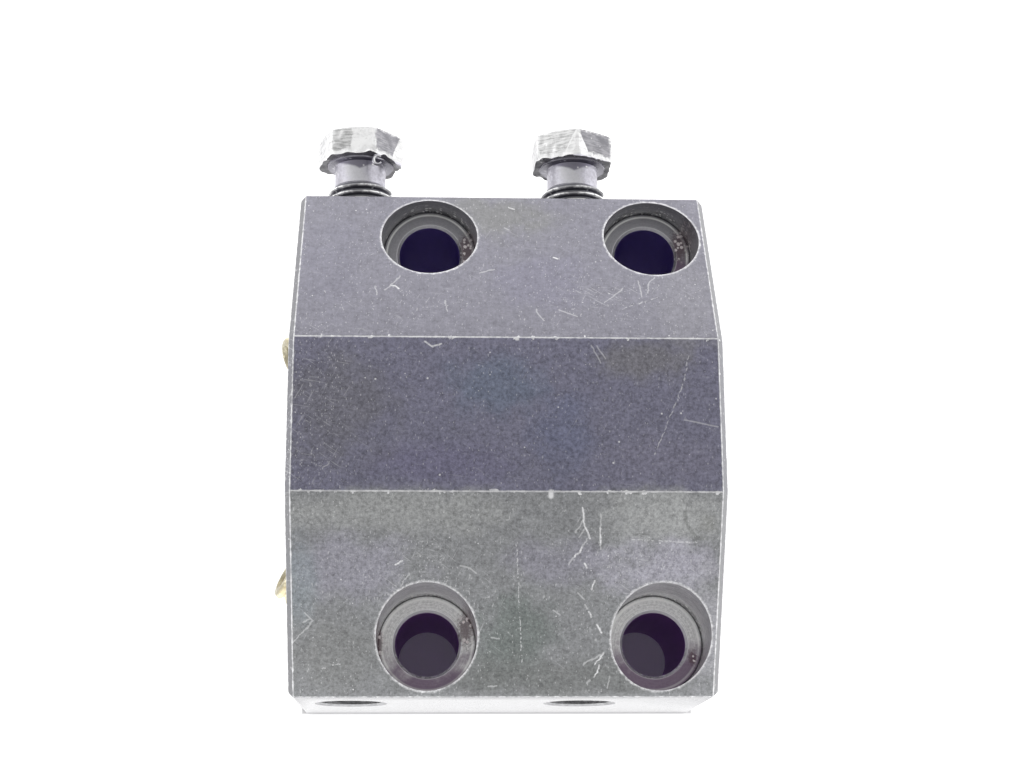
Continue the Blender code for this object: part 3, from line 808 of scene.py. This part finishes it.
def seal_rubber():
    mat, paint = new_material("seal_rubber")
    mm = millimetres(paint)
    fine = grain(mm, 3.0, 3.0)
    colour = fine.ramp(0.35, 0.65).mix(*RUBBER)
    bump = fine.bump(0.2, 0.00003)
    roughness = fine.ramp(0.3, 0.7, 0.45, 0.7)
    finish_material(paint, colour, roughness, Normal=bump)
    return mat


rubber = seal_rubber()
for side in nozzle_places:
    for kind in ("nozzle_seal", "inlet_seal"):
        for material_slot in frame["nodes"][f"{kind}_{side}"].material_slots:
            material_slot.material = rubber

# Coolant nozzles: turned brass, a ball with a short rimmed spout bored through both. Each swivels
# in its ring and points up and in towards the bar.
SPOUT_REACH = 0.0074            # ball centre to mouth
SPOUT_ROOT = 0.0075
SPOUT_RIM = 0.009
SPOUT_RIM_LENGTH = 0.0016
SPOUT_RIM_ROUND = 0.0012
SPOUT_BORE = 0.0042
SPOUT_MOUTH = 0.0056
SPOUT_MOUTH_DEPTH = 0.0015
SPOUT_LIFT = math.radians(17)
SPOUT_TURN = {"upper": math.radians(21), "lower": math.radians(26)}
SPOUT_EDGE = 0.0001
BRASS = (0.74, 0.62, 0.36, 1), (0.94, 0.88, 0.66, 1)
TARNISH = (0.38, 0.35, 0.26, 1)
SPOUT_BORE_PAINTED_SHADE = (0.10, 0.08, 0.05, 1)
RUBBED_BRASS = (0.90, 0.83, 0.62, 1)


def nozzle_outline():
    root, rim, bore, mouth = SPOUT_ROOT / 2, SPOUT_RIM / 2, SPOUT_BORE / 2, SPOUT_MOUTH / 2
    waist = math.degrees(math.acos(root / (BALL / 2)))
    back = -math.degrees(math.acos(bore / (BALL / 2)))
    rim_start = SPOUT_REACH - SPOUT_RIM_LENGTH
    outline = arc((0, 0), BALL / 2, back, waist, 32)
    outline += [(root, rim_start - (rim - root) / 2), (rim - SPOUT_EDGE, rim_start - SPOUT_EDGE),
                (rim, rim_start + SPOUT_EDGE)]
    outline += arc((rim - SPOUT_RIM_ROUND, SPOUT_REACH - SPOUT_RIM_ROUND), SPOUT_RIM_ROUND, 0, 90, 8)
    outline += [(mouth + SPOUT_EDGE, SPOUT_REACH), (mouth, SPOUT_REACH - SPOUT_EDGE),
                (bore, SPOUT_REACH - SPOUT_MOUTH_DEPTH)]
    return outline


def coolant_brass(name, aim):
    """Brass gone brown-grey on the rim, still pale yellow where it rubs in its ring."""
    mat, paint = new_material(name)
    mm = millimetres(paint)
    along = mm.vector("DOT_PRODUCT", tuple(aim), output="Value")
    from_axis = mm.vector("CROSS_PRODUCT", tuple(aim))
    radius = from_axis.length()
    fine = grain(mm, 1.8, 4.0, 0.7)
    colour = grain(mm, 0.35, 3.0).ramp(0.35, 0.65).mix(*BRASS)
    mouth = SPOUT_REACH * MM
    tarnish = along.ramp(mouth - 0.9, mouth - 0.2) * fine.ramp(0.3, 0.6, 0.6, 1.0)
    colour = tarnish.mix(colour, TARNISH)
    # painted shade inside the spout's mouth and bore
    inside = radius.fall(SPOUT_BORE * MM / 2, SPOUT_MOUTH * MM / 2)
    colour = inside.mix(colour, SPOUT_BORE_PAINTED_SHADE)
    worn = specks(mm, 0.9, 0.35, 0.3)
    colour = (worn * 0.7).mix(colour, RUBBED_BRASS)
    bump = (fine - worn).bump(0.4, 0.00004)
    roughness = fine.ramp(0.3, 0.7, 0.30, 0.5)
    finish_material(paint, colour, roughness, Metallic=0.85, Normal=bump)
    return mat


for side, place in nozzle_places.items():
    inward = -1 if place.y > 0 else 1
    level_reach = math.cos(SPOUT_LIFT)
    out, across = math.cos(SPOUT_TURN[side]), inward * math.sin(SPOUT_TURN[side])
    aim = Vector((-level_reach * out, level_reach * across, math.sin(SPOUT_LIFT)))
    up_to_aim = aim.to_track_quat("Z", "Y").to_matrix().to_4x4()
    turned_piece(f"coolant_nozzle_{side}", lathe(nozzle_outline(), RING_STEPS, closed=True),
                 coolant_brass(f"coolant_brass_{side}", aim), place, up_to_aim,
                 f"nozzle_{side}", f"nozzle_ball_{side}")

# Clamp screws: forged steel set screws with a hexagon head and a plain neck, run in from the far
# side onto the bar. Spanners have rubbed the heads bright and burred their lower rims.
SCREW_TIP_SETBACK = 0.002       # tip above the bore's wall
SCREW_TIP = 0.0095
SCREW_TIP_LENGTH = 0.003
SCREW_TIP_EDGE = 0.0005
THREAD_DEPTH = 0.00092
THREAD_OUT = 0.0066             # thread that shows outside the block
NECK = 0.0112
NECK_LENGTH = 0.0054
WASHER_FACE = 0.0145
WASHER_FACE_HEIGHT = 0.0004
HEX_FLATS = 0.017
HEX_HEIGHT = 0.0062
HEX_CHAMFER = math.radians(15)  # shallower than the solid's, as the photograph has it
HEX_FACE = 0.0162               # round flat left on top by the chamfer
HEX_CORNER_WEAR = 0.0002
HEX_RIM_WEAR = 0.0003           # more of it at the lower rim
HEX_SAG = 0.0006
HEX_SAG_REACH = 0.25            # radians
HEX_TURN_DEG = {"left": 10.5, "right": 27.0}    # the right one further than its solid, as photographed
HEX_CORNER = HEX_FLATS / math.sqrt(3) - HEX_CORNER_WEAR
NECK_ROUND = 0.0004
SCREW_EDGE = 0.0001
NECK_TOP = THREAD_OUT + NECK_LENGTH
HEAD_BOTTOM = NECK_TOP + WASHER_FACE_HEIGHT
LOW_RIM, HIGH_RIM, RIM_EDGE = 0.25, 0.15, 0.12      # what rim wear takes, as shares of the head
DENT_SCALE = 900                # dents to a metre, for the largest
RIM_DENT, RIM_DENT_FINE, FACET_DENT = 0.0005, 0.00005, 0.0004
RIM_LIFT, RIM_LIFT_FINE, RIM_DROP = 0.0007, 0.0001, 0.0002
DENT_SEED = {"left": 3, "right": 29}
HEAD_ROWS = 18
SCREW_STEPS = 168
SCREW_SMOOTH_DEG = 22
CURL_TURN = math.radians(27)    # where round the left head a burr has curled over, from straight up
CURL_RADIUS = 0.0009
CURL_THICKNESS = 0.00038
CURL_STRETCH = 1.2
CURL_DROP = 1.45 * CURL_RADIUS  # its middle hangs this far below the rim
CURL_START_DEG, CURL_SWEEP_DEG = 40, 290
CURL_ROWS, CURL_STEPS = 24, 12
CURL_OUT = HEX_CORNER - HEX_RIM_WEAR - CURL_RADIUS / 2
CURL_PLACE = Vector((CURL_OUT * math.sin(CURL_TURN), HEAD_BOTTOM - CURL_DROP, CURL_OUT * math.cos(CURL_TURN)))


def fade(share, reach):
    return max(0.0, 1 - share / reach)


def head_ring(share, bottom, seed, peened):
    """A ring of the hexagon, at a share of the height from its lower rim to the chamfer, with dents.
    The rim sags under the corner that a spanner has peened, given as an angle."""
    low_rim, high_rim, edge = fade(share, LOW_RIM), fade(1 - share, HIGH_RIM), fade(share, RIM_EDGE)

    def at(angle):
        off_flat = angle % (math.pi / 3) - math.pi / 6
        radius = min(HEX_FLATS / 2 / math.cos(off_flat), HEX_CORNER - HEX_RIM_WEAR * low_rim)
        shoulder = bottom + HEX_HEIGHT - (radius - HEX_FACE / 2) * math.tan(HEX_CHAMFER)
        level = bottom + (shoulder - bottom) * share
        where = Vector((math.cos(angle), math.sin(angle), 0)) * radius * DENT_SCALE
        where += Vector((0, 0, level * DENT_SCALE + seed))
        dent = max(0.0, noise.noise(where * 0.7)) * RIM_DENT + noise.noise(where * 2.1) * RIM_DENT_FINE
        dent *= low_rim + high_rim * 0.6
        dent += max(0.0, noise.noise(where * 0.5) - 0.25) * FACET_DENT
        lift = noise.noise(where * 0.42) * RIM_LIFT + noise.noise(where * 1.4) * RIM_LIFT_FINE
        from_peened = math.remainder(angle - peened, 2 * math.pi)
        sag = HEX_SAG * math.exp(-(from_peened / HEX_SAG_REACH) ** 2)
        return radius - max(0.0, dent), level + max(-RIM_DROP, lift * edge) - sag * edge
    return at


def clamp_screw(seed, peened):
    """One screw, its axis along Z and the block's side face at height 0."""
    tip = BAR_BORE / 2 + SCREW_TIP_SETBACK - half_width
    radius, point, neck, washer = SCREW_THREAD / 2, SCREW_TIP / 2, NECK / 2, WASHER_FACE / 2
    core = radius - THREAD_DEPTH
    tip_end = tip + SCREW_TIP_LENGTH
    top = HEAD_BOTTOM + HEX_HEIGHT
    before = [(0, tip), (point - SCREW_TIP_EDGE, tip), (point, tip + SCREW_TIP_EDGE), (point, tip_end),
              (core, tip_end + core - point)]
    after = [(neck, THREAD_OUT + core - neck), (neck, NECK_TOP - NECK_ROUND),
             (neck + SCREW_EDGE, NECK_TOP - SCREW_EDGE), (neck + NECK_ROUND, NECK_TOP),
             (washer - SCREW_EDGE, NECK_TOP), (washer, NECK_TOP + SCREW_EDGE), (washer, HEAD_BOTTOM)]
    after += [head_ring(row / HEAD_ROWS, HEAD_BOTTOM, seed, peened) for row in range(HEAD_ROWS + 1)]
    after += [(HEX_FACE / 2 + SCREW_EDGE, top - SCREW_EDGE / 2), (HEX_FACE / 2 - 2 * SCREW_EDGE, top),
              (0, top)]
    return threaded(core, radius, tip_end + core - point, THREAD_OUT, SCREW_STEPS, before, after)


def curled_burr():
    """A sliver of metal rolled into a C under the rim, its ends drawn out thin."""
    bm = bmesh.new()
    rows = []
    for i in range(CURL_ROWS + 1):
        turn = math.radians(CURL_START_DEG + CURL_SWEEP_DEG * i / CURL_ROWS)
        thickness = CURL_THICKNESS * math.sin(math.pi * (i + 1.5) / (CURL_ROWS + 3)) ** 0.5
        centre = Vector((math.cos(turn), CURL_STRETCH * math.sin(turn), 0.0)) * CURL_RADIUS
        outward = centre.normalized()
        row = []
        for a in circle(CURL_STEPS):
            up = Vector((0, 0, thickness * math.sin(a)))
            row.append(bm.verts.new(centre + outward * thickness * math.cos(a) + up))
        rows.append(row)
    return skinned(bm, rows)


SCREW_OXIDE = (0.20, 0.198, 0.215, 1), (0.36, 0.355, 0.375, 1)
SCUFFED_STEEL = (0.44, 0.44, 0.44, 1), (0.82, 0.82, 0.82, 1)
BARE_HEAD = (0.97, 0.97, 0.97, 1)
NECK_STEEL = (0.36, 0.35, 0.39, 1), (0.56, 0.55, 0.61, 1)
NECK_PAINTED_HIGHLIGHT = (0.80, 0.80, 0.82, 1)
NECK_PAINTED_SHADOW = (0.13, 0.12, 0.17, 1)
THREAD_STEEL = (0.16, 0.16, 0.18, 1), (0.86, 0.86, 0.86, 1)
UNDER_HEAD_PAINTED_SHADE = (0.055, 0.050, 0.066, 1)
WASHER_EDGE_HIGHLIGHT = (0.80, 0.79, 0.86, 1)
NICKS = (0.90, 0.90, 0.90, 1)


def screw_steel(name, turn_deg, bright, scuffed, corner_deg):
    """Oxide in violet grey, rubbed to bare metal at corners, rims, thread crests and whole facets.
    Angles are in degrees from straight up, to the right as seen from the block's near side."""
    mat, paint = new_material(name)
    mm = millimetres(paint)
    x, y, z = axes(mm)
    turn = x.math("ARCTAN2", z) * math.degrees(1)
    fine = grain(mm, 1.6, 4.0, 0.7)
    cloud = grain(mm, 0.45, 4.0, 0.6)
    drift = cloud - 0.5
    streak = grain(mm.times(0.35, 2.6, 0.35), 1.2, 3.0)
    radius = mm.times(1, 0, 1).length()
    thread_end, neck_top = THREAD_OUT * MM, NECK_TOP * MM
    rim_level = neck_top + WASHER_FACE_HEIGHT * MM
    end_level = rim_level + HEX_HEIGHT * MM
    head = y.ramp(rim_level - 0.35, rim_level - 0.2) * radius.ramp(7.35, 7.6)
    under = axes(paint.node("TexCoord", output="Normal"))[1].ramp(-0.4, -0.8)
    thread = y.fall(thread_end - 0.1, thread_end + 0.1)
    # bare metal: corners, both rims, chosen facets, and the triangle that a spanner has peened
    to_corner = abs(((turn - turn_deg) / 60 + 12.0).math("FRACT") - 0.5)
    worn = (to_corner * 14 + drift * 4).fall(0.3, 1.2)
    worn = worn | (y - rim_level + drift * 4).fall(0.5, 1.3)
    worn = worn | (end_level - y + (fine - 0.5) * 2).fall(0.2, 0.7) * 0.8
    for start_deg, end_deg, amount in bright:
        worn = worn | (turn + drift * 14).between(start_deg, end_deg) * amount
    spread = (y - rim_level).ramp(0.0, HEX_HEIGHT * MM, 17.0, 1.0)
    from_peened = abs(turn - corner_deg) + drift * 9 - spread
    peened = from_peened.fall(-1.0, 0.0)
    worn = (worn | 0.55) * peened | worn * (1 - peened) | abs(from_peened).fall(0.8, 2.2)
    oxide = (cloud * 0.4 + streak * 0.6).ramp(0.38, 0.62).mix(*SCREW_OXIDE)
    scuff = turn.between(*scuffed) | peened
    scuffed_colour = (streak * 0.7 + fine * 0.3).ramp(0.34, 0.6).mix(*SCUFFED_STEEL)
    head_colour = scuff.mix(oxide, scuffed_colour)
    scoured = (cloud * 0.5 + streak * 0.2 + fine * 0.3).ramp(0.36, 0.54, 0.45, 1.0)
    head_colour = (worn * scoured).mix(head_colour, BARE_HEAD)
    # the neck is satin, with a painted highlight stripe where it faces up and painted shadow under the head, and
    # the thread has bright crests over dark flanks
    neck_colour = (cloud * 0.5 + fine * 0.5).ramp(0.35, 0.65).mix(*NECK_STEEL)
    # painted highlight: a bright stripe down the neck where it faces up
    neck_highlight = (abs(turn + 8) + drift * 40).ramp(5, 40, 0.6, 0.0)
    neck_colour = neck_highlight.mix(neck_colour, NECK_PAINTED_HIGHLIGHT)
    # painted shadow of the head on the top of the neck, an arc deepest in the middle
    shadow_edge = y - neck_top + 2.0 - abs(turn) / 28 + drift * 0.8
    neck_colour = shadow_edge.ramp(-0.2, 0.4, 0.0, 0.8).mix(neck_colour, NECK_PAINTED_SHADOW)
    crest = (radius - (SCREW_THREAD * MM / 2 - 0.42)).ramp(0.0, 0.22)
    crest = crest * grain(mm, 0.6, 2.0).ramp(0.40, 0.56, 0.3, 1.0)
    thread_colour = crest.mix(*THREAD_STEEL)
    colour = thread.mix(neck_colour, thread_colour)
    colour = head.mix(colour, head_colour)
    washer = WASHER_FACE * MM / 2
    # painted shade on the faces under the head that look down towards the block
    under_head_shade = under * radius.ramp(washer - 0.35, washer + 0.15, 0.35, 0.95)
    under_head_shade = under_head_shade * (abs(turn) + drift * 60).ramp(35, 85, 1.0, 0.75)
    colour = under_head_shade.mix(colour, UNDER_HEAD_PAINTED_SHADE)
    # painted highlight round the edge of the washer face
    washer_edge_highlight = y.ramp(neck_top - 0.05, neck_top + 0.03) * y.fall(rim_level - 0.08, rim_level)
    colour = (washer_edge_highlight * (1 - under)).mix(colour, WASHER_EDGE_HIGHLIGHT)
    nick = specks(mm, 1.0, 0.35, 0.3)
    colour = (nick * 0.6).mix(colour, NICKS)
    colour = mm.distance(tuple(CURL_PLACE * MM)).fall(0.9, 1.1).mix(colour, BARE_STEEL)
    bare = worn * head
    height = fine * 0.4 + streak * 0.5 - worn * 0.5 - nick
    bump = height.bump(0.5, 0.00008)
    metallic = bare.ramp(0.0, 1.0, 0.92, 0.55)
    roughness = bare.ramp(0.0, 1.0, 0.34, 0.50)
    finish_material(paint, colour, roughness, Metallic=metallic, Normal=bump)
    return mat


# how each head is worn: bright stretches, the scuffed one, and the peened corner, in degrees
HEAD_WEAR = {"left": ([(-110, -41, 0.7), (-12, 20, 1.0)], (-42, 19), 75.0),
             "right": ([(-120, -58, 0.8), (-58, -53, 0.8)], (-58, 3), 3.0)}
for side, place in screw_places.items():
    turn_deg, corner_deg = HEX_TURN_DEG[side], HEAD_WEAR[side][-1]
    bm = clamp_screw(DENT_SEED[side], math.radians(corner_deg + turn_deg - 90))
    bm.transform(Matrix.Rotation(-math.radians(turn_deg), 4, "Y") @ UP_TO_Y)
    if side == "left":
        curl = mesh_from("curled_burr", curled_burr(), Matrix.Translation(CURL_PLACE))
        bm.from_mesh(curl)
        bpy.data.meshes.remove(curl)
    steel = screw_steel(f"screw_steel_{side}", -turn_deg, *HEAD_WEAR[side])
    turned_piece(f"clamp_screw_body_{side}", bm, steel, (place.x, half_width, place.z), None,
                 f"screw_{side}", f"clamp_screw_{side}", SCREW_SMOOTH_DEG)
